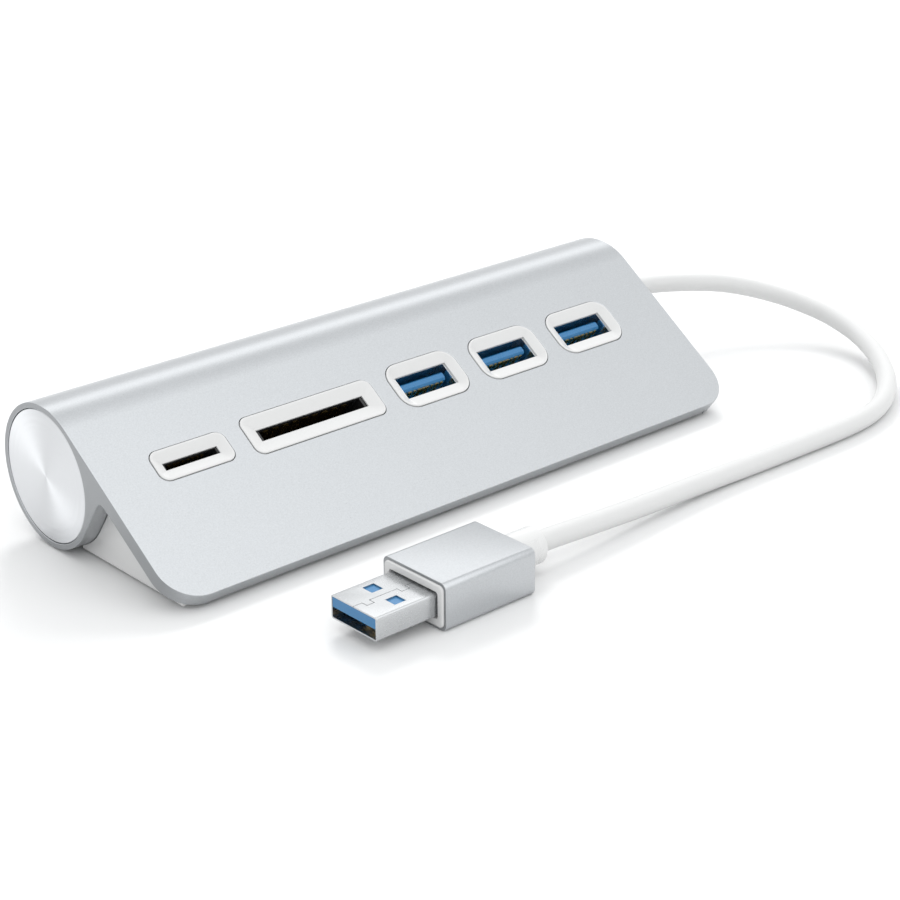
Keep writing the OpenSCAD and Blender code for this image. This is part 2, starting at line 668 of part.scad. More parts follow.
module plug_shell() {
    length = shell_out + shell_in;
    window_l = 2.5;
    window_w = 2.6;
    color(steel) at_plug(-sleeve_len - shell_out) difference() {
        translate([length / 2, 0, 0]) along_x(length) difference() {
            round_rect(shell_w, shell_h, 0.5);
            square([shell_w - 2 * shell_t, shell_h - 2 * shell_t], center = true);
        }
        for (side = [-1, 1]) translate([5.5, side * 3 - window_w / 2, -shell_h]) cube([window_l, window_w, 2 * shell_h]);
        shell_seam();
    }
}
module plug_insulator() {
    inner_w = shell_w - 2 * shell_t - 0.04;
    inner_h = shell_h - 2 * shell_t - 0.04;
    color(blue) at_plug(-sleeve_len - shell_out) union() {
        translate([0.1, -inner_w / 2, inner_h / 2 - insulator_t]) cube([shell_out + shell_in - 0.1, inner_w, insulator_t]);
        translate([shell_out - 2, -inner_w / 2, -inner_h / 2]) cube([shell_in + 2, inner_w, inner_h]);
    }
}
module plug_contacts() {
    face_z = (shell_h - 2 * shell_t - 0.04) / 2 - insulator_t;
    color(gold) at_plug(-sleeve_len - shell_out) {
        for (y = [-3.5, 3.5]) translate([1.2, y - 0.5, face_z - 0.15]) cube([7.4, 1, 0.15]);
        for (y = [-1, 1]) translate([2.2, y - 0.5, face_z - 0.15]) cube([6.4, 1, 0.15]);
        for (y = [-4.7, -2.35, 0, 2.35, 4.7]) translate([9.4, y - 0.3, face_z - 0.15]) cube([1.8, 0.6, 0.15]);
    }
}
module plug_board() {
    color(green) at_plug(-sleeve_len + shell_in + 0.1)
        translate([0, -shell_w / 2 + 1, -0.4]) cube([cavity_len - 3, shell_w - 2, 0.8]);
}
module plug_lead() {
    start = -sleeve_len + shell_in + cavity_len - 2;
    color(white) at_plug(start) rotate([0, 90, 0]) cylinder(h = collar_len - start, d = cable_d);
}

body_extrusion();
left_end_cap();
right_end_cap();
bottom_cover();
cover_screws();
rubber_feet();
microsd_bezel();
sd_bezel();
usb_bezel(0);  // usb_bezel_1
usb_bezel(1);  // usb_bezel_2
usb_bezel(2);  // usb_bezel_3
usb_shell(0);  // usb_shell_1
usb_shell(1);  // usb_shell_2
usb_shell(2);  // usb_shell_3
usb_tongue(0);  // usb_tongue_1
usb_tongue(1);  // usb_tongue_2
usb_tongue(2);  // usb_tongue_3
usb_contacts(0);  // usb_contacts_1
usb_contacts(1);  // usb_contacts_2
usb_contacts(2);  // usb_contacts_3
sd_housing();
sd_shield();
sd_contacts();
microsd_housing();
microsd_shield();
microsd_contacts();
main_board();
hub_controller();
reader_controller();
crystals();
regulator();
capacitors();
chip_parts();
lead_header();
lead_wires();
inner_lead();
cable_gland();
cable();
plug_collar();
plug_sleeve();
plug_moulding();
plug_shell();
plug_insulator();
plug_contacts();
plug_board();
plug_lead();
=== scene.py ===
"""Looks of a desktop USB hub: a sloping plate on a round back, white-lined ports and a fixed lead."""

from math import cos, pi, radians, sin

import bmesh
import bpy
import numpy as np
from bpy.props import FloatProperty, FloatVectorProperty, PointerProperty
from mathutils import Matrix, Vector


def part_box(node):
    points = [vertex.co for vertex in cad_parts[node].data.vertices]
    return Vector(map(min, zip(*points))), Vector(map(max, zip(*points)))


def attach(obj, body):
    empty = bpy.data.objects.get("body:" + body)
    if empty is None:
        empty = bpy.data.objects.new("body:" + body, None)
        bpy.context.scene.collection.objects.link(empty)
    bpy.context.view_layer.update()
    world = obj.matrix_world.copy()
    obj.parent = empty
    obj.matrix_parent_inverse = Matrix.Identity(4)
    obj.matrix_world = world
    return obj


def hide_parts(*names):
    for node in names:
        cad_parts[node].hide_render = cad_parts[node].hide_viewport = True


bl_info = {
    "name": "USB Hub",
    "version": (1, 0, 0),
    "blender": (4, 5, 0),
    "location": "3D View > Sidebar > Hub",
    "description": "Builds the looks of a desktop USB hub around its packed CAD model",
    "category": "Add Mesh",
}

# One millimetre, in metres
MM = 0.001
# Gap between two pieces that touch, and the radius of a corner that is all but sharp, in millimetres
TOUCH, SHARP = 0.02, 0.03
# How far a cutting shape stands past the face that it cuts, in millimetres
PAST = 1
# Angle at which the painted highlight fans of the end caps start, in radians
FAN_HIGHLIGHT_TURN = -0.1
# Painted shade on the faces that face along x, the extrusion's cut ends: their colour as a share of its
# blasted colour
END_PAINTED_SHADE_SHARE = 0.68
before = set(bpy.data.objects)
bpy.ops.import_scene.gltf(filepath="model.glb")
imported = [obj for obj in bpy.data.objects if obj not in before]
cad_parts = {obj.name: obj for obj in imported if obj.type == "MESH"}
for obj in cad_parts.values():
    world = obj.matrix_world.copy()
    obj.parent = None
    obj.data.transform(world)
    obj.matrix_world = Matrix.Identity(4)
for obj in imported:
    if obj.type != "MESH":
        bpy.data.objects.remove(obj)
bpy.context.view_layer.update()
BODY_LOW, BODY_HIGH = (np.array(corner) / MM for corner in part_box("body_extrusion"))


# ---------------------------------------------------------------- sizes and colours

def size(name, description, default):
    """A length in millimetres, as a property of a panel."""
    return FloatProperty(name=name, description=description, default=default, precision=3)


def sizes(name, description, default):
    """Two or three lengths in millimetres, as a property of a panel."""
    return FloatVectorProperty(name=name, description=description, default=default, size=len(default))


def paint(name, description, default):
    """A linear colour, as a property of a panel."""
    return FloatVectorProperty(name=name, description=description, default=default, size=3, min=0, max=1,
                               subtype="COLOR")


class HubBodyShape(bpy.types.PropertyGroup):
    """Sizes of the aluminium body, in millimetres."""
    slope: FloatProperty(name="Slope", description="Slope of the port plate against the desk",
                         default=radians(35), subtype="ANGLE", unit="ROTATION")
    back_radius: size("Back radius", "Radius of the round back", 14)
    bore_radius: size("Bore radius", "Radius of the bore in the round back", 12.9)
    plate_thickness: size("Plate thickness", "Thickness of the port plate", 3.1)
    corner_radius: size("Corner radius", "Radius of the plate's front corners", 7.5)
    fillet_radius: size("Fillet radius", "Fillet under the plate where it meets the round back", 1.7)
    edge_break: size("Edge break", "Width of the fine chamfer on the body's edges", 0.16)
    cap_recess: size("Cap recess", "Depth of an end cap below the end of the body", 0.1)
    cap_radius: size("Cap radius", "Radius of an end cap", 12.85)
    cap_thickness: size("Cap thickness", "Thickness of an end cap's disc", 1.6)
    cap_skirt: size("Cap skirt", "Length of the skirt behind an end cap's disc", 4)


class HubPortShape(bpy.types.PropertyGroup):
    """Sizes of the ports and their bezels, in millimetres."""
    row: size("Row", "Distance of the port row down the slope from the round back", 12.75)
    usb_bezel: sizes("USB bezel", "Width, height and corner radius", (17.75, 10.75, 3.6))
    usb_opening: sizes("USB opening", "Width and height", (13.2, 5.25))
    usb_pocket: sizes("USB pocket", "Width and height of the shell's pocket", (13.3, 5.9))
    sd_bezel: sizes("Wide card bezel", "Width, height and corner radius", (31.5, 8.75, 2))
    sd_opening: sizes("Wide card opening", "Width and height", (25.7, 2.6))
    sd_pocket: sizes("Wide card pocket", "Width and height", (27.3, 5.4))
    microsd_bezel: sizes("Narrow card bezel", "Width, height and corner radius", (16.7, 6.8, 2))
    microsd_opening: sizes("Narrow card opening", "Width and height", (12.1, 1.6))
    microsd_pocket: sizes("Narrow card pocket", "Width and height", (14.3, 4.3))
    lip_height: size("Lip height", "Height of a bezel's lip over the plate", 0.12)
    lip_width: size("Lip width", "Width of a bezel's flat lip", 0.45)
    funnel_depth: size("Funnel depth", "Depth of the opening's edge below the plate", 0.7)


class HubLeadShape(bpy.types.PropertyGroup):
    """Sizes of the lead and its plug, in millimetres."""
    diameter: size("Diameter", "Diameter of the lead", 4.2)
    gland_radius: size("Gland radius", "Radius of the gland at the end cap", 3.6)
    gland_tip: size("Gland tip", "Radius of the gland at its tip", 2.7)
    gland_length: size("Gland length", "Length of the gland outside the end cap", 9.5)
    collar_radius: size("Collar radius", "Radius of the collar behind the plug", 3.6)
    collar_length: size("Collar length", "Length of that collar", 7.8)
    sleeve: sizes("Sleeve", "Length, width and height of the plug's sleeve", (21, 16.4, 9.1))
    sleeve_corner: size("Sleeve corner", "Radius of the sleeve's long edges", 1.3)
    sleeve_wall: size("Sleeve wall", "Wall of the sleeve", 0.55)
    rim: size("Rim", "Stand-out of the white moulding at the sleeve's ends", 0.35)
    shell: sizes("Shell", "Length, width and height of the plug's steel shell", (18.5, 12.0, 4.5))
    shell_out: size("Shell outside", "Length of the shell in front of the sleeve", 13.5)


class HubFinish(bpy.types.PropertyGroup):
    """Colours of the hub's materials."""
    aluminium: paint("Aluminium", "Blasted and anodised aluminium", (0.5, 0.515, 0.53))
    spun: paint("Spun aluminium", "Spun faces of the end caps", (0.64, 0.65, 0.665))
    white: paint("White plastic", "Bezels, cover, gland and plug moulding", (0.63, 0.63, 0.627))
    cord: paint("Cord", "Jacket of the lead", (0.6, 0.6, 0.597))
    blue: paint("Blue plastic", "Tongues of the sockets and insulator of the plug", (0.014, 0.15, 0.34))
    steel: paint("Nickelled steel", "Shells of the sockets and of the plug", (0.55, 0.56, 0.57))
    gold: paint("Gold plating", "Contacts", (0.83, 0.58, 0.2))
    board: paint("Solder mask", "Circuit boards", (0.012, 0.11, 0.05))
    rubber: paint("Rubber", "Feet", (0.06, 0.06, 0.062))


class HubStudio(bpy.types.PropertyGroup):
    """Camera and light."""
    lens: FloatProperty(name="Lens", description="Focal length", default=86.26, unit="CAMERA")
    eye: FloatVectorProperty(name="Eye", description="Place of the camera", size=3, subtype="TRANSLATION",
                             unit="LENGTH", default=(-0.25526, -0.30387, 0.17388))
    turn: FloatVectorProperty(name="Turn", description="Rotation of the camera", size=3, subtype="EULER",
                              default=(radians(66.679), radians(0.355), radians(-41.854)))
    air: FloatProperty(name="Air", description="Strength of the light from all round", default=1.75)
    strip: FloatProperty(name="Strip", description="Power of the strip light", default=1.35, unit="POWER")
    key: FloatProperty(name="Key", description="Power of the key light, behind the right end", default=5.6,
                       unit="POWER")


# ---------------------------------------------------------------- surfaces

def frame_of(origin, across, up, out):
    """A 3x4 placement: local x, y and z run along across, up and out from origin, in millimetres."""
    return np.column_stack([across, up, out, origin]).astype(float)


WORLD = frame_of((0, 0, 0), (1, 0, 0), (0, 1, 0), (0, 0, 1))


def endwise(x, y, z):
    """Placement at a point with the local z axis along the hub: local x runs along y, and local y along z."""
    return frame_of((x, y, z), (0, 1, 0), (0, 0, 1), (1, 0, 0))


def middle_x(node):
    """X of the middle of a CAD node's box, in millimetres."""
    low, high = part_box(node)
    return (low.x + high.x) / 2 / MM


def back_axis():
    """Y and Z of the round back's axis."""
    radius = bpy.context.scene.hub_body.back_radius
    return BODY_HIGH[1] - radius, BODY_HIGH[2] - radius


def slope_point(down, depth):
    """Y and Z of a point, from its distance down the plate and its depth below the plate's face. Both run
    from the line where the plate is tangent to the round back."""
    shape = bpy.context.scene.hub_body
    y, z = back_axis()
    lower, drop = sin(shape.slope), cos(shape.slope)
    out = shape.back_radius - depth
    return np.stack(np.broadcast_arrays(y - out * lower - down * drop, z + out * drop - down * lower), -1)


def on_plate(x, down=None):
    """Placement on the plate's face: local x along the hub, y up the slope, z out of the plate."""
    slope = bpy.context.scene.hub_body.slope
    down = bpy.context.scene.hub_port.row if down is None else down
    y, z = slope_point(down, 0)
    return frame_of((x, y, z), (1, 0, 0), (0, cos(slope), sin(slope)), (0, -sin(slope), cos(slope)))


def rounded_rings(sections, steps):
    """Rings of a loft. Each section gives a width, a height, a corner radius and a level. A ring is the
    outline of that rectangle, whose corners are quarters of a circle about centres set in by the radius."""
    width, height, radius, level = np.array(sections, float).T[:, :, None]
    quarter = np.arange(4).repeat(steps)
    turn = np.tile(np.linspace(0, pi / 2, steps), 4) + quarter * pi / 2
    side_x, side_y = np.array([1, -1, -1, 1])[quarter], np.array([1, 1, -1, -1])[quarter]
    x = side_x * (width / 2 - radius) + radius * np.cos(turn)
    y = side_y * (height / 2 - radius) + radius * np.sin(turn)
    return np.stack([x, y, np.broadcast_to(level, x.shape)], -1)


def turned_rings(profile, steps):
    """Rings of a turned shape. Each point of the profile gives a radius and a height, and its ring is the
    circle of that radius about the local z axis."""
    radius, height = np.array(profile, float).T[:, :, None]
    turn = np.linspace(0, 2 * pi, steps, endpoint=False)
    return np.stack([radius * np.cos(turn), radius * np.sin(turn), height + 0 * turn], -1)


def outline_rings(outline, low, high):
    """Two rings of one outline of x and y, at the levels low and high."""
    outline = np.asarray(outline, float)
    levels = np.array([low, high], float)[:, None, None]
    flat = np.broadcast_to(outline, (2, *outline.shape))
    return np.concatenate([flat, np.broadcast_to(levels, (*flat.shape[:2], 1))], -1)


def rounding(width, height, radius, level, ease, outward, steps=5):
    """Sections of a rounded edge: a quarter circle of radius ease that takes a section's side over into its
    flat end. outward is 1 where the end faces +z and -1 where it faces -z."""
    turn = np.linspace(0, pi / 2, steps)
    inset = ease * (1 - np.cos(turn))
    rows = np.column_stack([width - 2 * inset, height - 2 * inset, np.maximum(radius - inset, SHARP),
                            level - outward * ease * (1 - np.sin(turn))])
    return rows.tolist()


def turned_edge(radius, height, ease, outward, steps=6):
    """Points of a turned rounded edge, from the side into the end that faces outward."""
    turn = np.linspace(0, pi / 2, steps)
    return np.column_stack([radius - ease * (1 - np.cos(turn)),
                            height - outward * ease * (1 - np.sin(turn))]).tolist()


def skin(name, rings, place=WORLD, ring_closed=False, sharp=30.0):
    """A closed mesh over rings of points: four-sided faces between each ring and the next, and one flat face
    over each open end. Its faces are turned outwards by the sign of its volume, the sum over its triangles
    of a corner's dot product with the cross product of the other two."""
    count, around = rings.shape[:2]
    points = rings.reshape(-1, 3) @ place[:, :3].T + place[:, 3]
    here = np.arange(count if ring_closed else count - 1)[:, None] * around
    there = (here + around) % (count * around)
    along, after = np.arange(around), (np.arange(around) + 1) % around
    quads = np.stack([here + along, here + after, there + after, there + along], -1).reshape(-1, 4)
    ends = [] if ring_closed else [np.arange(around)[::-1], np.arange(around) + (count - 1) * around]
    fans = [np.stack([np.full(around - 2, end[0]), end[1:-1], end[2:]], -1) for end in ends]
    corners = points[np.concatenate([quads[:, :3], quads[:, [0, 2, 3]], *fans])] - points.mean(0)
    volume = np.einsum("ij,ij->", corners[:, 0], np.cross(corners[:, 1], corners[:, 2]))
    turned = slice(None, None, -1) if volume < 0 else slice(None)
    faces = quads[:, turned].tolist() + [end[turned].tolist() for end in ends]
    mesh = bpy.data.meshes.new(name)
    mesh.from_pydata((points * MM).tolist(), [], faces)
    mesh.shade_smooth()
    mesh.set_sharp_from_angle(angle=radians(sharp))
    piece = bpy.data.objects.new(name, mesh)
    bpy.context.scene.collection.objects.link(piece)
    return piece


def block(name, low, high, place=WORLD):
    """A rectangular block between two corners."""
    low, high = np.array(low, float), np.array(high, float)
    outline = [(low[0], low[1]), (high[0], low[1]), (high[0], high[1]), (low[0], high[1])]
    return skin(name, outline_rings(outline, low[2], high[2]), place)


def rod(name, radius, low, high, place, steps):
    """A straight rod along the local z axis."""
    return skin(name, turned_rings([(radius, low), (radius, high)], steps), place)


def cut_away(piece, cutters):
    """Takes the cutters' shapes out of the piece, and removes the cutters."""
    for cutter in cutters:
        step = piece.modifiers.new(cutter.name, "BOOLEAN")
        step.operation, step.solver, step.object = "DIFFERENCE", "EXACT", cutter
    graph = bpy.context.evaluated_depsgraph_get()
    mesh = bpy.data.meshes.new_from_object(piece.evaluated_get(graph))
    if len(mesh.polygons) in (0, len(piece.data.polygons)):
        raise RuntimeError(f"nothing was cut out of {piece.name}")
    piece.modifiers.clear()
    piece.data = mesh
    for cutter in cutters:
        bpy.data.objects.remove(cutter)


def ease_edges(piece, width, angle):
    """Breaks every edge sharper than the angle with a fine rounding."""
    piece.data.shade_smooth()
    bevel = piece.modifiers.new("ease", "BEVEL")
    bevel.width, bevel.segments = width * MM, 2
    bevel.limit_method, bevel.angle_limit = "ANGLE", radians(angle)
    bevel.use_clamp_overlap, bevel.harden_normals = False, True
    return piece


def merged_copy(node, name):
    """A copy of a CAD node whose loose triangles are merged into whole flat faces."""
    same_point, same_plane = 1e-6, radians(1)
    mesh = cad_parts[node].data.copy()
    mesh.name = name
    shell = bmesh.new()
    shell.from_mesh(mesh)
    bmesh.ops.remove_doubles(shell, verts=shell.verts, dist=same_point)
    bmesh.ops.dissolve_limit(shell, angle_limit=same_plane, verts=shell.verts, edges=shell.edges)
    shell.to_mesh(mesh)
    shell.free()
    mesh.materials.clear()
    piece = bpy.data.objects.new(name, mesh)
    bpy.context.scene.collection.objects.link(piece)
    return piece


def settle(piece, material, slot, *stands_for):
    """Gives a piece its material, its body and the CAD nodes that it stands for, which it hides.
    The slot in the record is not used.
    """
    piece.data.materials.clear()
    piece.data.materials.append(material)
    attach(piece, "root")
    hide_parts(*stands_for)


def dress(material, *nodes):
    """Puts a material on CAD nodes that are shown as they are."""
    for node in nodes:
        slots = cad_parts[node].data.materials
        slots.clear()
        slots.append(material)


# ---------------------------------------------------------------- materials

class Amount:
    """A socket of a material. The usual operators add the Math nodes that work the expression out."""

    def __init__(self, recipe, socket):
        self.recipe, self.socket = recipe, socket

    def math(self, operation, *values):
        return self.recipe.node("Math", {"operation": operation}, dict(enumerate(values)))

    def __add__(self, other): return self.math("ADD", self, other)
    def __sub__(self, other): return self.math("SUBTRACT", self, other)
    def __rsub__(self, other): return self.math("SUBTRACT", other, self)
    def __mul__(self, other): return self.math("MULTIPLY", self, other)
    def __truediv__(self, other): return self.math("DIVIDE", self, other)
    def __rtruediv__(self, other): return self.math("DIVIDE", other, self)
    def __pow__(self, other): return self.math("POWER", self, other)
    def __rpow__(self, other): return self.math("POWER", other, self)
    def __abs__(self): return self.math("ABSOLUTE", self)
    __radd__, __rmul__ = __add__, __mul__

    def sine(self): return self.math("SINE", self)
    def above(self, other): return self.math("GREATER_THAN", self, other)

    def spread(self, low, high, to_low=0.0, to_high=1.0):
        """The amount's range from low to high, spread over to_low to to_high and held at its ends."""
        return self.recipe.node("MapRange", {"clamp": True},
                                {"Value": self, "From Min": low, "From Max": high,
                                 "To Min": to_low, "To Max": to_high})


class Mixture:
    """The node tree of a material or of the world, and the shader of the given type that stands in it."""

    def __init__(self, owner, shader_type):
        owner.use_nodes = True
        self.tree = owner.node_tree
        self.shader = next(n for n in self.tree.nodes if n.type == shader_type)

    def node(self, kind, settings=None, values=None, output=0):
        """Adds one node. Its settings come first, then the values or links of its sockets."""
        made = self.tree.nodes.new("ShaderNode" + kind)
        for key, value in (settings or {}).items():
            if key == "stops":
                ramp = made.color_ramp.elements
                while len(ramp) < len(value):
                    ramp.new(0.5)
                for element, (place, colour) in zip(ramp, value):
                    element.position, element.color = place, (*colour, 1)
            else:
                setattr(made, key, value)
        for key, value in (values or {}).items():
            if isinstance(value, Amount):
                self.tree.links.new(value.socket, made.inputs[key])
            else:
                made.inputs[key].default_value = value
        return Amount(self, made.outputs[output])

    def set(self, socket, value):
        """Sets or links one of the shader's own sockets."""
        target = self.shader.inputs[socket]
        if isinstance(value, Amount):
            self.tree.links.new(value.socket, target)
        else:
            colour = isinstance(value, (tuple, list)) and len(value) == 3
            target.default_value = (*value, 1) if colour else value


class Recipe(Mixture):
    """A material under construction: a Principled shader and the nodes that feed it."""

    def __init__(self, name, **constants):
        self.material = bpy.data.materials.new(name)
        super().__init__(self.material, "BSDF_PRINCIPLED")
        for socket, value in constants.items():
            self.set(socket.replace("_", " "), value)

    def place(self, scale=(1, 1, 1), shift=(0, 0, 0)):
        """The point on the object, in metres, scaled and shifted."""
        point = self.node("TexCoord", output="Object")
        return self.node("Mapping", None, {"Vector": point, "Scale": scale, "Location": shift})

    def axes(self, point):
        """The three coordinates of a point as amounts."""
        split = self.node("SeparateXYZ", None, {"Vector": point})
        return [Amount(self, split.socket.node.outputs[axis]) for axis in "XYZ"]

    def noise(self, grain, detail=2.0, roughness=0.5, point=None):
        """Noise whose features are about grain millimetres across."""
        return self.node("TexNoise", None, {"Vector": point or self.place(), "Scale": 1 / (grain * MM),
                                            "Detail": detail, "Roughness": roughness})

    def mix(self, factor, first, second):
        """A colour between two colours."""
        def whole(colour):
            return colour if isinstance(colour, Amount) else (*colour, 1)
        return self.node("Mix", {"data_type": "RGBA"}, {0: factor, 6: whole(first), 7: whole(second)}, 2)

    def bump(self, height, distance, strength=1.0):
        """Feeds the shader's normal with a relief of the given depth, in millimetres."""
        self.set("Normal", self.node("Bump", None, {"Height": height, "Distance": distance * MM,
                                                    "Strength": strength}))


def shade(colour, share):
    """A colour made darker or lighter by a share."""
    return tuple(min(1.0, part * share) for part in colour)


def blasted_aluminium(name):
    """Fine even grain of blasted metal under clear anodising: a noise of a quarter of a millimetre changes
    the tone a little and gives the relief, and a broad one changes the gloss. The faces that face along x,
    the extrusion's cut ends, are rougher, and their colour is darker as painted shade."""
    colour = tuple(bpy.context.scene.hub_finish.aluminium)
    recipe = Recipe(name, Metallic=1.0)
    grain = recipe.noise(0.28, 3.0, 0.7)
    cloud = recipe.noise(22.0, 2.0)
    tone = (grain - 0.5) * 2.4 + (cloud - 0.5) * 0.2 + 0.5
    faces = recipe.axes(recipe.node("NewGeometry", output="Normal"))
    end_faces = abs(faces[0]).spread(0.6, 0.95)
    whole = recipe.mix(tone, shade(colour, 0.92), shade(colour, 1.08))
    # Painted shade: the faces that face along x take a darker copy of the colour
    recipe.set("Base Color", recipe.mix(end_faces, whole, shade(colour, END_PAINTED_SHADE_SHARE)))
    recipe.set("Roughness", (grain - 0.5) * 0.1 + (cloud - 0.5) * 0.04 + end_faces * 0.12 + 0.3)
    recipe.bump(grain, 0.012, 0.3)
    return recipe.material


def spun_aluminium(name, centre):
    """A faced disc: fine rings about the centre tilt the normal along the radius and spread the light out.
    The bright and dark fans are painted highlight in the colour, a wave of the angle about the centre;
    the rings are noise along the radius."""
    colour = tuple(bpy.context.scene.hub_finish.spun)
    recipe = Recipe(name, Metallic=1.0)
    ring_pitch, sway_per_metre, sharpness = 0.16, 260.0, 3
    _, y, z = recipe.axes(recipe.place(shift=(0, -centre[0] * MM, -centre[1] * MM)))
    radius = (y * y + z * z) ** 0.5 + 1e-6
    ring = recipe.node("TexNoise", {"noise_dimensions": "1D"},
                       {"W": radius * (1 / (ring_pitch * MM)), "Detail": 4.0})
    normal = recipe.node("NewGeometry", output="Normal")
    flat = abs(recipe.axes(normal)[0]).above(0.9)
    angle = recipe.node("Math", {"operation": "ARCTAN2"}, {0: z, 1: y})
    sway = recipe.node("TexNoise", {"noise_dimensions": "1D"}, {"W": radius * sway_per_metre, "Detail": 1.0})
    # Painted highlight: fans by the angle about the centre lighten the colour of the flat face
    fan_highlight = ((angle * 2 + (sway - 0.5) * 0.25 + FAN_HIGHLIGHT_TURN).sine() * 0.5 + 0.5) ** sharpness
    broad = (angle * 2 + FAN_HIGHLIGHT_TURN + 2.2).sine() * 0.5 + 0.5
    painted_fans = (fan_highlight * 0.75 + broad * 0.25) * flat
    # The ring noise is the disc's own tone; the fans add painted highlight up to 1.42 of the spun colour
    tone = (ring - 0.5) * 0.3 + painted_fans * 0.9
    recipe.set("Base Color", recipe.mix(tone, shade(colour, 0.93), shade(colour, 1.42)))
    lean = recipe.node("CombineXYZ", None, {"X": 0.0, "Y": y / radius * (ring - 0.5),
                                            "Z": z / radius * (ring - 0.5)})
    reach = recipe.node("VectorMath", {"operation": "SCALE"}, {"Vector": lean, "Scale": flat * 0.5})
    whole = recipe.node("VectorMath", {"operation": "ADD"}, {0: normal, 1: reach})
    recipe.set("Normal", recipe.node("VectorMath", {"operation": "NORMALIZE"}, {0: whole}))
    recipe.set("Roughness", (ring - 0.5) * 0.1 + 0.3)
    return recipe.material


def gloss_white(name, roughness, share=1.0):
    """White moulded plastic: a smooth gloss with the faintest flow marks in its tone and relief."""
    # A share below 1 gives a darker copy of the white, which is painted shade
    colour = shade(bpy.context.scene.hub_finish.white, share)
    recipe = Recipe(name, Specular_IOR_Level=0.5, IOR=1.5)
    flow = recipe.noise(3.0, 3.0)
    speck = recipe.noise(0.18, 2.0)
    recipe.set("Base Color", recipe.mix(flow, shade(colour, 0.985), shade(colour, 1.0)))
    recipe.set("Roughness", (flow - 0.5) * 0.06 + (speck - 0.5) * 0.04 + roughness)
    recipe.bump(flow * 0.6 + speck * 0.4, 0.004, 0.4)
    return recipe.material


def cord_jacket(name):
    """Soft white jacket: satin, with a faint drawn grain along its surface."""
    colour = tuple(bpy.context.scene.hub_finish.cord)
    recipe = Recipe(name, Specular_IOR_Level=0.42)
    drawn = recipe.noise(1.6, 3.0)
    speck = recipe.noise(0.12, 2.0)
    recipe.set("Base Color", recipe.mix(drawn, shade(colour, 0.97), colour))
    recipe.set("Roughness", (drawn - 0.5) * 0.1 + (speck - 0.5) * 0.1 + 0.42)
    recipe.bump(speck, 0.006, 0.35)
    return recipe.material


def nickelled_steel(name, grain, roughness, share=1.0):
    """Bright rolled sheet: streaks drawn out along the rolling direction change the tone and the gloss."""
    # A share above 1 gives a lighter copy of the steel, which is painted reflection
    colour = shade(bpy.context.scene.hub_finish.steel, share)
    recipe = Recipe(name, Metallic=1.0)
    streak = recipe.noise(0.9, 3.0, 0.5, recipe.place(scale=grain))
    stain = recipe.noise(5.0, 2.0)
    recipe.set("Base Color", recipe.mix(streak * 0.7 + stain * 0.3, shade(colour, 0.95), shade(colour, 1.05)))
    recipe.set("Roughness", (streak - 0.5) * 0.08 + (stain - 0.5) * 0.06 + roughness)
    recipe.bump(streak, 0.0006, 0.2)
    return recipe.material


def moulded(name, colour, roughness, grain=0.12, depth=0.006, vary=0.08, **constants):
    """Plain moulded plastic or rubber with an even fine grain."""
    recipe = Recipe(name, **constants)
    fine = recipe.noise(grain, 3.0)
    broad = recipe.noise(grain * 20, 2.0)
    tone = fine * 0.6 + broad * 0.4
    recipe.set("Base Color", recipe.mix(tone, shade(colour, 1 - vary), shade(colour, 1 + vary)))
    recipe.set("Roughness", (fine - 0.5) * 0.12 + (broad - 0.5) * 0.08 + roughness)
    recipe.bump(fine, depth, 0.5)
    return recipe.material


def gold_plating(name):
    """Thin gold over nickel: warm, bright, a little uneven."""
    colour = tuple(bpy.context.scene.hub_finish.gold)
    recipe = Recipe(name, Metallic=1.0)
    cast = recipe.noise(0.5, 3.0)
    recipe.set("Base Color", recipe.mix(cast, shade(colour, 0.85), shade(colour, 1.12)))
    recipe.set("Roughness", (cast - 0.5) * 0.12 + 0.22)
    recipe.bump(cast, 0.003, 0.3)
    return recipe.material


def solder_mask(name):
    """A printed board: tracks show through the mask as slightly raised, lighter lines on a regular grid."""
    colour = tuple(bpy.context.scene.hub_finish.board)
    recipe = Recipe(name)
    track_pitch = 2.2
    cells = recipe.node("TexVoronoi", {"feature": "DISTANCE_TO_EDGE"},
                        {"Vector": recipe.place(), "Scale": 1 / (track_pitch * MM), "Randomness": 0.55})
    track = cells.spread(0.04, 0.09, 1.0, 0.0)
    weave = recipe.noise(0.2, 2.0)
    recipe.set("Base Color", recipe.mix(track, colour, shade(colour, 1.9)))
    recipe.set("Roughness", (weave - 0.5) * 0.1 + 0.34)
    recipe.bump(track * 0.8 + weave * 0.2, 0.02, 0.5)
    return recipe.material


def pale_floor(name):
    """An even white table top with a barely seen change of tone."""
    recipe = Recipe(name, Specular_IOR_Level=0.15)
    cloud = recipe.noise(180.0, 1.0)
    dull, bright = 0.725, 0.735
    recipe.set("Base Color", recipe.mix(cloud, (dull,) * 3, (bright,) * 3))
    recipe.set("Roughness", (cloud - 0.5) * 0.05 + 0.6)
    return recipe.material


# ---------------------------------------------------------------- pieces

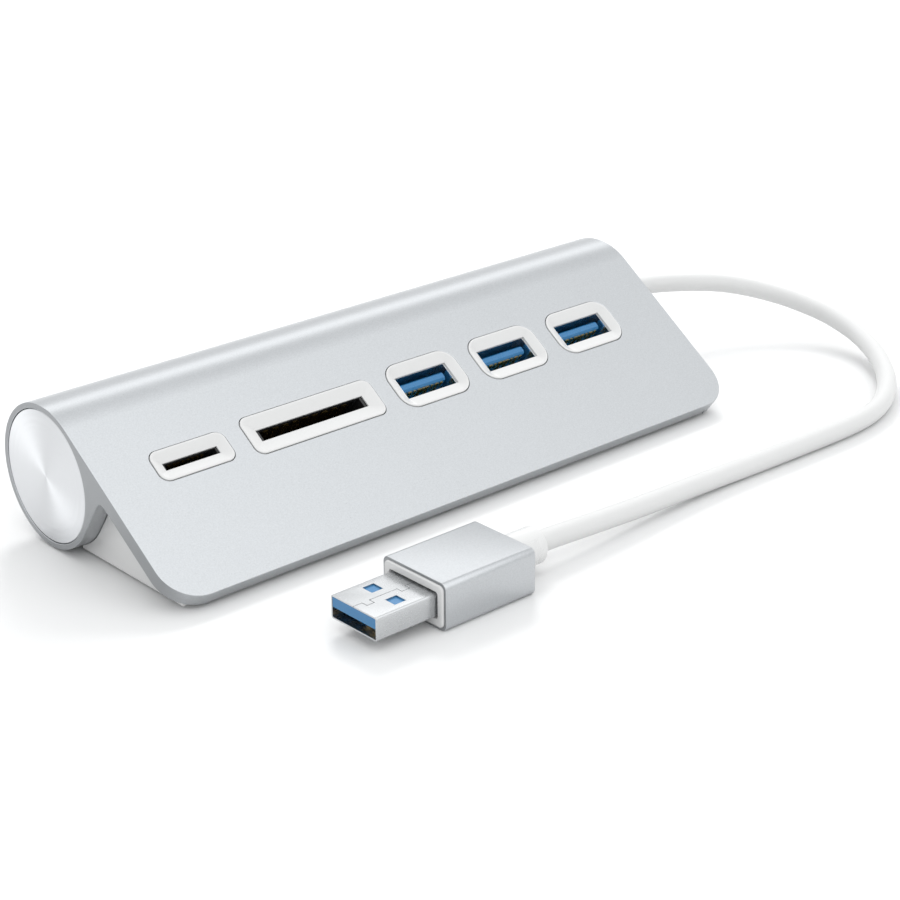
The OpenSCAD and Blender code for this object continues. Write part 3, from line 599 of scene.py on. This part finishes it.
class HubStage(bpy.types.Operator):
    """Camera, floor and soft studio light."""
    bl_idname = "hub.stage"
    bl_label = "Stage"

    # Place, aim and extent of each light, in metres
    STRIP = ((0.6, 0.58, 0.58), (0, -0.58, -0.56), (1.6, 0.26))
    KEY = ((0.55, 0.66, 0.68), (-0.55, -0.66, -0.66), (0.35, 0.35))
    # The direction that the air is brightest in, and its brightness against the nearness to that direction
    BRIGHT = (0, -0.5, 0.85)
    AIR = ((0.0, 0.58), (0.47, 0.56), (0.66, 0.69), (0.84, 0.98))

    def execute(self, context):
        studio = context.scene.hub_studio
        lens = bpy.data.cameras.new("studio_camera")
        lens.lens = studio.lens
        lens.clip_start, lens.clip_end = 0.02, 30
        camera = bpy.data.objects.new("studio_camera", lens)
        camera.location, camera.rotation_euler = studio.eye, studio.turn
        context.scene.collection.objects.link(camera)
        context.scene.camera = camera

        reach, thick, under = 3000.0, 20.0, 0.01
        floor = block("floor", (-reach, -reach, -thick), (reach, reach, -under))
        floor.data.materials.append(pale_floor("pale_floor"))

        self.light(context, "strip", studio.strip, *self.STRIP)
        key = self.light(context, "key", studio.key, *self.KEY)
        key.visible_glossy = False
        self.air(context, studio.air)
        context.scene.view_settings.view_transform = "Standard"
        return {"FINISHED"}

    @staticmethod
    def light(context, name, power, place, aim, extent):
        """A rectangular softbox that faces along aim."""
        data = bpy.data.lights.new(name, "AREA")
        data.shape, data.energy = "RECTANGLE", power
        data.size, data.size_y = extent
        lamp = bpy.data.objects.new(name, data)
        lamp.location = place
        lamp.rotation_euler = Vector(aim).to_track_quat("-Z", "Y").to_euler()
        context.scene.collection.objects.link(lamp)
        return lamp

    def air(self, context, strength):
        """Light from all round, a little blue, brightest overhead towards the front."""
        world = bpy.data.worlds.new("studio_air")
        context.scene.world = world
        sky = Mixture(world, "BACKGROUND")
        direction = sky.node("TexCoord", output="Generated")
        near = sky.node("VectorMath", {"operation": "DOT_PRODUCT"}, {0: direction, 1: self.BRIGHT}, "Value")
        stops = [(place, (level * 0.985, level * 0.995, level)) for place, level in self.AIR]
        sky.set("Color", sky.node("ValToRGB", {"stops": stops}, {"Fac": near}))
        sky.set("Strength", strength)


class HubLead(bpy.types.Operator):
    """The free lead from the gland to the plug's collar."""
    bl_idname = "hub.lead"
    bl_label = "Lead"

    # The lead's course past its straight start, in millimetres
    ROUTE = [(88, 12.9, 14.1), (94, 11.8, 13.4), (100, 9.9, 12.6), (105.5, 7.3, 11.8), (110, 3.9, 10.8),
             (113.5, 0, 9.7), (116, -4.2, 8.7), (117.6, -8.8, 7.7), (118.4, -13.6, 6.8),
             (118.2, -18.5, 5.9), (117.2, -23.4, 5.1), (115.2, -28.1, 4.5), (112.4, -32.9, 4),
             (109, -37.4, 3.5), (104.9, -41.8, 3), (100.2, -45.6, 2.7), (95, -48.8, 2.4), (89.4, -51, 2.2),
             (83, -52.3, 2.1), (75, -52.7, 2.1), (66, -52.6, 2.1), (57, -52.4, 2.1), (48, -52.1, 2.1),
             (39, -52, 2.3), (30, -52.1, 2.6), (21, -52.4, 3), (12, -52.7, 3.5), (4, -52.9, 4),
             (-4, -52.85, 4.4), (-8.2, -52.8, 4.55), (-11.2, -52.8, 4.55)]

    def execute(self, context):
        shape = context.scene.hub_lead
        axis_y, axis_z = back_axis()
        exit_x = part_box("cable_gland")[1].x / MM
        straight, inset = 3, 0.04
        route = np.array([(exit_x, axis_y, axis_z), (exit_x + straight, axis_y, axis_z), *self.ROUTE], float)
        path = self.eased(route, 12)
        curve = bpy.data.curves.new("lead", "CURVE")
        curve.dimensions, curve.bevel_depth = "3D", (shape.diameter / 2 - inset) * MM
        curve.bevel_resolution, curve.use_fill_caps = 8, True
        line = curve.splines.new("POLY")
        line.points.add(len(path) - 1)
        line.points.foreach_set("co", np.column_stack([path * MM, np.ones(len(path))]).ravel())
        line.use_smooth = True
        lead = bpy.data.objects.new("lead", curve)
        context.scene.collection.objects.link(lead)
        settle(lead, cord_jacket("cord_jacket"), "cord_jacket", "cable")
        return {"FINISHED"}

    @staticmethod
    def eased(route, steps):
        """A smooth line through the route: between two points, a cubic whose slope at each is a half of the
        way between its neighbours."""
        before = np.vstack([2 * route[:1] - route[1:2], route[:-1]])
        after = np.vstack([route[1:], 2 * route[-1:] - route[-2:-1]])
        slope = (after - before) / 2
        t = np.linspace(0, 1, steps, endpoint=False)[None, :, None]
        start, end, leave, reach = route[:-1, None], route[1:, None], slope[:-1, None], slope[1:, None]
        cubic = ((2 * t**3 - 3 * t**2 + 1) * start + (t**3 - 2 * t**2 + t) * leave
                 + (3 * t**2 - 2 * t**3) * end + (t**3 - t**2) * reach)
        return np.vstack([cubic.reshape(-1, 3), route[-1:]])


class HubBody(bpy.types.Operator):
    """The extruded body with its bore, its pocket and the windows for the ports."""
    bl_idname = "hub.body"
    bl_label = "Aluminium body"

    def execute(self, context):
        shape, ports = context.scene.hub_body, context.scene.hub_port
        half = BODY_HIGH[0]
        body = skin("body_blasted", outline_rings(self.outline(shape), -half, half), endwise(0, 0, 0))
        cutters = self.hollows(shape, half)
        for side in (-1, 1):
            cutters += [self.corner(shape, side, half), *self.underside(shape, side)]
        for node, outside in (("usb_bezel_1", ports.usb_bezel), ("usb_bezel_2", ports.usb_bezel),
                              ("usb_bezel_3", ports.usb_bezel), ("sd_bezel", ports.sd_bezel),
                              ("microsd_bezel", ports.microsd_bezel)):
            rings = rounded_rings([(*outside, -shape.plate_thickness - 2 * PAST), (*outside, PAST)], 16)
            cutters.append(skin("window", rings, on_plate(middle_x(node))))
        cut_away(body, cutters)
        ease_edges(body, shape.edge_break, 30)
        settle(body, blasted_aluminium("aluminium_blasted"), "anodised_aluminium", "body_extrusion")
        return {"FINISHED"}

    @staticmethod
    def hollows(shape, half):
        """What is cut along the body: the bore, the electronics' pocket and the groove for the cover's lip."""
        web, start, depth = 9.5, 1.5, 16
        groove_half, groove_near, groove_far, groove_depth = 68, 33.3, 34.7, 0.8
        thick, plate = shape.plate_thickness, on_plate(0, 0)
        far = shape.back_radius + shape.fillet_radius + PAST
        return [rod("bore", shape.bore_radius, -half - PAST, half + PAST, endwise(0, *back_axis()), 240),
                block("pocket", (web - half, -far, -depth), (half - web, -start, -thick), plate),
                block("groove", (-groove_half, -groove_far, -thick - PAST),
                      (groove_half, -groove_near, groove_depth - thick), plate)]

    @staticmethod
    def underside(shape, side):
        """What is cut from below near an end: the hole for the cover's screw, and a rear foot's groove."""
        screw_x, screw_in, screw_radius, screw_low, screw_high = 65.1, 2.15, 1.1, 0.65, 16.9
        foot_x, foot_half, foot_side, foot_depth = 44, 15.1, 2.6, 1.1
        axis_y, _ = back_axis()
        screw_y = axis_y - shape.bore_radius - screw_in
        screw = frame_of((side * screw_x, screw_y, 0), (1, 0, 0), (0, 1, 0), (0, 0, 1))
        return [rod("screw_hole", screw_radius, screw_low, screw_high, screw, 32),
                block("foot_groove", (side * foot_x - foot_half, axis_y - foot_side, -3 * PAST),
                      (side * foot_x + foot_half, axis_y + foot_side, foot_depth))]

    def outline(self, shape):
        """The body's section in Y and Z: the plate's face, three quarters of the round back's circle, the
        square nose, the fillet as a quarter circle, and the plate's underside."""
        axis, length = np.array(back_axis()), self.plate_length(shape)
        radius, fillet, thick = shape.back_radius, shape.fillet_radius, shape.plate_thickness
        turn = np.linspace(pi / 2 + shape.slope, shape.slope - pi, 271)
        back = axis + radius * np.column_stack([np.cos(turn), np.sin(turn)])
        bend = np.linspace(0, pi / 2, 10)
        inner = slope_point(radius + fillet - fillet * np.cos(bend), thick + fillet - fillet * np.sin(bend))
        front = slope_point(np.array([length, length]), np.array([thick, 0]))
        return np.vstack([back, inner, front])

    @staticmethod
    def plate_length(shape):
        """Length of the plate down the slope, up to the foremost point of the packed body."""
        return (slope_point(0, 0)[0] - BODY_LOW[1]) / cos(shape.slope)

    def corner(self, shape, side, half):
        """What is cut from a front corner of the plate: a square less a quarter circle."""
        radius, length = shape.corner_radius, self.plate_length(shape)
        beyond = radius + 2 * PAST
        turn = np.linspace(-pi / 2, 0, 24)
        arc = radius * np.column_stack([np.cos(turn), np.sin(turn)])
        outline = np.vstack([arc, [(beyond, 0), (beyond, -beyond), (0, -beyond)]])
        outline = outline * (side, 1) + (side * (half - radius), radius - length)
        return skin("corner", outline_rings(outline, -shape.plate_thickness - PAST, PAST), on_plate(0, 0))


class HubCaps(bpy.types.Operator):
    """The two pressed-in end caps with their spun faces."""
    bl_idname = "hub.caps"
    bl_label = "End caps"

    def execute(self, context):
        shape, lead = context.scene.hub_body, context.scene.hub_lead
        axis_y, axis_z = back_axis()
        material = spun_aluminium("aluminium_spun", (axis_y, axis_z))
        face, radius, thick = BODY_HIGH[0] - shape.cap_recess, shape.cap_radius, shape.cap_thickness
        wall, ease, hole_ease, waist, pole = 1.2, 0.3, 0.15, 0.5, 0.02
        back, inner = -thick - shape.cap_skirt, radius - wall
        rim = turned_edge(radius, 0, ease, 1, 8)[::-1]
        skirt = [(radius, back), (inner, back), (inner, -thick)]
        middle = [(pole, 0), (0.5, 0), (6, 0)]
        left = skin("left_cap_spun", turned_rings([*middle, *rim, *skirt, (pole, -thick)], 192),
                    frame_of((-face, axis_y, axis_z), (0, 0, 1), (0, 1, 0), (-1, 0, 0)))
        settle(left, material, "turned_aluminium", "left_end_cap")
        hole = lead.gland_radius - waist
        mouth = [(hole, -thick), (hole, -hole_ease), (hole + hole_ease, 0)]
        right = skin("right_cap_spun", turned_rings([*mouth, *rim, *skirt], 192),
                     endwise(face, axis_y, axis_z), ring_closed=True)
        settle(right, material, "turned_aluminium", "right_end_cap")
        return {"FINISHED"}


class HubBezels(bpy.types.Operator):
    """The white bezels: rounded lip, funnel down to a square-cornered opening, pocket and flange."""
    bl_idname = "hub.bezels"
    bl_label = "Bezels"

    def execute(self, context):
        ports = context.scene.hub_port
        # The bezels take a darker copy of the white plastic, at 0.94 of it: painted shade for their funnel
        # walls
        material = gloss_white("white_bezel_painted_shade", 0.2, 0.94)
        for number in (1, 2, 3):
            self.bezel(context, f"usb_bezel_{number}", material, ports.usb_bezel, ports.usb_opening,
                       ports.usb_pocket)
        self.bezel(context, "sd_bezel", material, ports.sd_bezel, ports.sd_opening, ports.sd_pocket)
        self.bezel(context, "microsd_bezel", material, ports.microsd_bezel, ports.microsd_opening,
                   ports.microsd_pocket)
        return {"FINISHED"}

    @staticmethod
    def bezel(context, node, material, outside, opening, pocket):
        """One bezel as a loft: its flange, its side, the rounded lip, a curve of degree two over into the
        funnel, the funnel's straight walls, and the pocket behind."""
        ports, body = context.scene.hub_port, context.scene.hub_body
        fit, flange, flange_height, point = 0.1, 1.2, 1.0, 0.04
        lip_side, lip_ease, roll, land = 0.3, 0.14, 0.16, 0.3
        width, height, radius = outside
        under = -body.plate_thickness - fit
        back, lip = under - flange_height, ports.lip_height
        outer = (width - 2 * fit, height - 2 * fit, radius - fit)
        wide = (width + 2 * flange, height + 2 * flange, radius + flange)
        sections = [(*wide, back), (*wide, under), (*outer, under), (*outer, lip - lip_side),
                    *rounding(*outer, lip, lip_ease, 1)]
        mouth = np.array([width - 2 * ports.lip_width, height - 2 * ports.lip_width,
                          max(radius - ports.lip_width, point), lip])
        throat = np.array([opening[0], opening[1], point, -ports.funnel_depth])
        start = mouth + (2 * roll, 2 * roll, roll, 0)
        share = roll / max(np.linalg.norm((throat - mouth)[[1, 3]] / (2, 1)), roll)
        finish = mouth + (throat - mouth) * share
        turn = np.linspace(0, 1, 6)[:, None]
        curve = start * (1 - turn) ** 2 + 2 * mouth * turn * (1 - turn) + finish * turn**2
        walls = mouth + (throat - mouth) * np.linspace(share, 1, 5)[1:, None]
        rim = -ports.funnel_depth - land
        sections += [*curve.tolist(), *walls.tolist(), (*opening, point, rim), (*pocket, point, rim),
                     (*pocket, point, back)]
        piece = skin(node + "_moulded", rounded_rings(sections, 14), on_plate(middle_x(node)),
                     ring_closed=True, sharp=34)
        settle(piece, material, "white_plastic", node)


class HubCover(bpy.types.Operator):
    """The white cover under the plate, its screws and the feet."""
    bl_idname = "hub.cover"
    bl_label = "Cover, screws and feet"

    def execute(self, context):
        cover = ease_edges(merged_copy("bottom_cover", "cover_moulded"), 0.12, 40)
        settle(cover, gloss_white("white_cover", 0.3), "white_plastic", "bottom_cover")
        rubber = tuple(context.scene.hub_finish.rubber)
        feet = ease_edges(merged_copy("rubber_feet", "feet_rubber"), 0.2, 40)
        settle(feet, moulded("rubber_foot", rubber, 0.75, 0.15, 0.02, 0.12), "foot_rubber", "rubber_feet")
        dress(nickelled_steel("steel_screw", (6, 6, 1), 0.3), "cover_screws")
        return {"FINISHED"}


class HubSockets(bpy.types.Operator):
    """Shells, tongues and contacts of the USB sockets, and the card readers."""
    bl_idname = "hub.sockets"
    bl_label = "Sockets and readers"

    def execute(self, context):
        finish = context.scene.hub_finish
        numbers = (1, 2, 3)
        # The socket shells take a lighter copy of the nickelled steel, at 1.5: painted reflection on their
        # walls inside the ports
        dress(nickelled_steel("steel_socket_painted_reflection", (1, 5, 5), 0.2, 1.5), *(f"usb_shell_{n}" for n in numbers))
        dress(moulded("blue_tongue", tuple(finish.blue), 0.28, 0.1, 0.003, 0.06, Coat_Weight=0.2),
              *(f"usb_tongue_{n}" for n in numbers))
        dress(gold_plating("gold_plating"), *(f"usb_contacts_{n}" for n in numbers),
              "sd_contacts", "microsd_contacts", "plug_contacts")
        dress(moulded("black_reader", (0.012, 0.012, 0.013), 0.32), "sd_housing", "microsd_housing")
        dress(nickelled_steel("steel_shield", (5, 1, 1), 0.3), "sd_shield", "microsd_shield")
        return {"FINISHED"}


class HubBoard(bpy.types.Operator):
    """The circuit board and what is soldered to it."""
    bl_idname = "hub.board"
    bl_label = "Circuit board"

    def execute(self, context):
        dress(solder_mask("solder_mask"), "main_board", "plug_board")
        dress(moulded("chip_package", (0.02, 0.02, 0.022), 0.55, 0.1, 0.008, 0.15),
              "hub_controller", "reader_controller", "regulator")
        dress(nickelled_steel("can_metal", (1, 1, 4), 0.28), "crystals", "capacitors")
        dress(moulded("chip_ceramic", (0.3, 0.2, 0.12), 0.4, 0.2, 0.004, 0.2), "chip_parts")
        dress(moulded("header_plastic", (0.78, 0.75, 0.66), 0.45), "lead_header")
        dress(moulded("core_insulation", (0.4, 0.1, 0.07), 0.4), "lead_wires")
        dress(cord_jacket("cord_jacket_inner"), "inner_lead", "plug_lead")
        return {"FINISHED"}


class HubGland(bpy.types.Operator):
    """The tapered gland that holds the lead in the right end cap."""
    bl_idname = "hub.gland"
    bl_label = "Gland"

    def execute(self, context):
        shape, body = context.scene.hub_lead, context.scene.hub_body
        axis_y, axis_z = back_axis()
        waist, flange, flange_height, bevel = 0.6, 1, 1.5, 0.2
        foot, tip_run, tip_ease = 1.5, 0.4, 0.35
        radius, tip, length = shape.gland_radius, shape.gland_tip, shape.gland_length
        bore, neck, behind = shape.diameter / 2 + TOUCH / 2, radius - waist, -body.cap_thickness
        taper = np.linspace(0, 1, 12)[:, None]
        side = (1 - taper) * (radius, foot) + taper * (tip, length - tip_run)
        profile = [(bore, behind - flange_height), (radius + flange, behind - flange_height),
                   (radius + flange, behind - TOUCH), (neck, behind - TOUCH), (neck, TOUCH),
                   (radius - bevel, TOUCH), (radius, bevel), *side.tolist(),
                   *turned_edge(tip, length, tip_ease, 1)[1:], (bore, length)]
        gland = skin("gland", turned_rings(profile, 96),
                     endwise(BODY_HIGH[0] - body.cap_recess, axis_y, axis_z), ring_closed=True)
        settle(gland, gloss_white("white_gland", 0.32), "white_plastic", "cable_gland")
        return {"FINISHED"}


class HubPlug(bpy.types.Operator):
    """The plug: collar, sleeve, moulding, folded shell, insulator and contacts."""
    bl_idname = "hub.plug"
    bl_label = "Plug"

    # How deep the collar is held in the moulding, in millimetres
    HELD = 1.8
    # Start and end of each dovetail of the shell's seam, and of its windows, from the tip, in millimetres
    DOVETAILS = ((1.9, 3.5), (9.6, 11.4))
    WINDOW = (5.5, 8.0)

    def execute(self, context):
        shape, finish = context.scene.hub_lead, context.scene.hub_finish
        low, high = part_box("plug_sleeve")
        place = endwise(high.x / MM, (low.y + high.y) / 2 / MM, (low.z + high.z) / 2 / MM)
        self.collar(shape, place)
        self.sleeve(shape, place)
        self.moulding(shape, place)
        self.folded_shell(shape, place)
        dress(moulded("blue_insulator", tuple(finish.blue), 0.3, 0.1, 0.003, 0.06, Coat_Weight=0.2),
              "plug_insulator")
        return {"FINISHED"}

    @staticmethod
    def collar(shape, place):
        """A straight collar with a rounded rear edge."""
        bore, ease, shoulder = shape.diameter / 2 + TOUCH / 2, 0.5, 0.4
        radius, length = shape.collar_radius, shape.collar_length
        profile = [(bore, -HubPlug.HELD), (radius, -HubPlug.HELD), (radius, shoulder),
                   *turned_edge(radius, length, ease, 1, 8), (bore, length)]
        settle(skin("plug_collar_turned", turned_rings(profile, 96), place, ring_closed=True),
               gloss_white("white_collar", 0.28), "white_plastic", "plug_collar")

    @staticmethod
    def sleeve(shape, place):
        """A rounded rectangular tube with eased ends."""
        length, width, height = shape.sleeve
        corner, wall, ease, inset = shape.sleeve_corner, shape.sleeve_wall, 0.16, 0.05
        outer = (width, height, corner)
        inner = (width - 2 * wall, height - 2 * wall, corner - wall / 2)
        sections = [(*inner, inset - length), *rounding(*outer, -length, ease, -1)[::-1],
                    *rounding(*outer, 0, ease, 1), (*inner, -inset)]
        settle(skin("plug_sleeve_drawn", rounded_rings(sections, 12), place, ring_closed=True),
               blasted_aluminium("aluminium_sleeve"), "anodised_aluminium", "plug_sleeve")

    @staticmethod
    def moulding(shape, place):
        """The white core of the plug: a rim stands out of the sleeve at both ends."""
        length, width, height = shape.sleeve
        wall, rim, (shell_length, shell_width, shell_height) = shape.sleeve_wall, shape.rim, shape.shell
        held, front, back = shell_length - shape.shell_out, -length - rim, rim
        gap, corner, recess, bevel, flare = 0.3, 0.5, 1.6, 0.06, 0.2
        ease_front, ease_back = 0.32, 0.3
        core = (width - 2 * wall - 2 * TOUCH, height - 2 * wall - 2 * TOUCH, shape.sleeve_corner - wall / 2)
        mouth = (shell_width + 2 * gap, shell_height + 2 * gap, corner)
        hole = (shell_width + 2 * TOUCH, shell_height + 2 * TOUCH, corner)
        across = 2 * (shape.collar_radius + TOUCH)
        collar = (across, across, across / 2 - 0.001)
        sections = [(*hole, held - length), (*hole, recess - length), (*mouth, recess - length),
                    (*mouth, front + flare),
                    (mouth[0] + 2 * bevel, mouth[1] + 2 * bevel, corner + bevel, front + bevel),
                    (mouth[0] + 2 * flare, mouth[1] + 2 * flare, corner + flare, front),
                    *rounding(*core, front, ease_front, -1)[::-1], *rounding(*core, back, ease_back, 1),
                    (*collar, back), (*collar, -HubPlug.HELD)]
        settle(skin("plug_moulding_rimmed", rounded_rings(sections, 12), place, sharp=40),
               gloss_white("white_moulding", 0.24), "white_plastic", "plug_moulding")

    @staticmethod
    def folded_shell(shape, place):
        """A folded sheet tube: two windows through each broad wall, and the seam with its two dovetails."""
        length, width, height = shape.shell
        tip = -shape.sleeve[0] - shape.shell_out
        sheet, corner, inner_corner = 0.3, 0.5, 0.2
        outer, inner = (width, height, corner), (width - 2 * sheet, height - 2 * sheet, inner_corner)
        sections = [(*inner, tip), (*outer, tip), (*outer, tip + length), (*inner, tip + length)]
        shell = skin("plug_shell_folded", rounded_rings(sections, 8), place, ring_closed=True)
        half_gap, lock, window_x, window_half = 0.05, 1.3, 3, 1.3
        low, high = HubPlug.WINDOW
        cutters = [block("shell_window", (side * window_x - window_half, -height, tip + low),
                         (side * window_x + window_half, height, tip + high), place) for side in (-1, 1)]
        turns = [turn for dovetail in HubPlug.DOVETAILS for turn in dovetail]
        for start, end, offset in zip((0, *turns), (*turns, length), (0, -lock, 0, -lock, 0)):
            cutters.append(block("seam", (offset - half_gap, 0, tip + start - half_gap),
                                 (offset + half_gap, height, tip + end + half_gap), place))
        for across in turns:
            cutters.append(block("seam", (-lock - half_gap, 0, tip + across - half_gap),
                                 (half_gap, height, tip + across + half_gap), place))
        cut_away(shell, cutters)
        ease_edges(shell, 0.045, 40)
        settle(shell, nickelled_steel("steel_plug", (1, 4, 4), 0.26), "nickelled_steel", "plug_shell")


class HUB_PT_builder(bpy.types.Panel):
    """Lists the hub's sizes, colours and pieces."""
    bl_label = "USB hub"
    bl_idname = "HUB_PT_builder"
    bl_space_type, bl_region_type, bl_category = "VIEW_3D", "UI", "Hub"

    def draw(self, context):
        for name, kind in GROUPS:
            box = self.layout.box()
            box.label(text=kind.__doc__.split(",")[0].rstrip("."))
            group = getattr(context.scene, name)
            for key in kind.__annotations__:
                box.prop(group, key)
        for kind in BUILDERS:
            self.layout.operator(kind.bl_idname)


GROUPS = (("hub_body", HubBodyShape), ("hub_port", HubPortShape), ("hub_lead", HubLeadShape),
          ("hub_finish", HubFinish), ("hub_studio", HubStudio))
BUILDERS = (HubStage, HubGland, HubPlug, HubLead, HubBody, HubCaps, HubBezels, HubCover, HubSockets, HubBoard)


def register():
    for name, kind in GROUPS:
        bpy.utils.register_class(kind)
        setattr(bpy.types.Scene, name, PointerProperty(type=kind))
    for kind in (*BUILDERS, HUB_PT_builder):
        bpy.utils.register_class(kind)


def unregister():
    for kind in (HUB_PT_builder, *reversed(BUILDERS)):
        bpy.utils.unregister_class(kind)
    for name, kind in reversed(GROUPS):
        delattr(bpy.types.Scene, name)
        bpy.utils.unregister_class(kind)


def main():
    register()
    for kind in BUILDERS:
        area, name = kind.bl_idname.split(".")
        getattr(getattr(bpy.ops, area), name)()


if __name__ == "__main__":
    main()
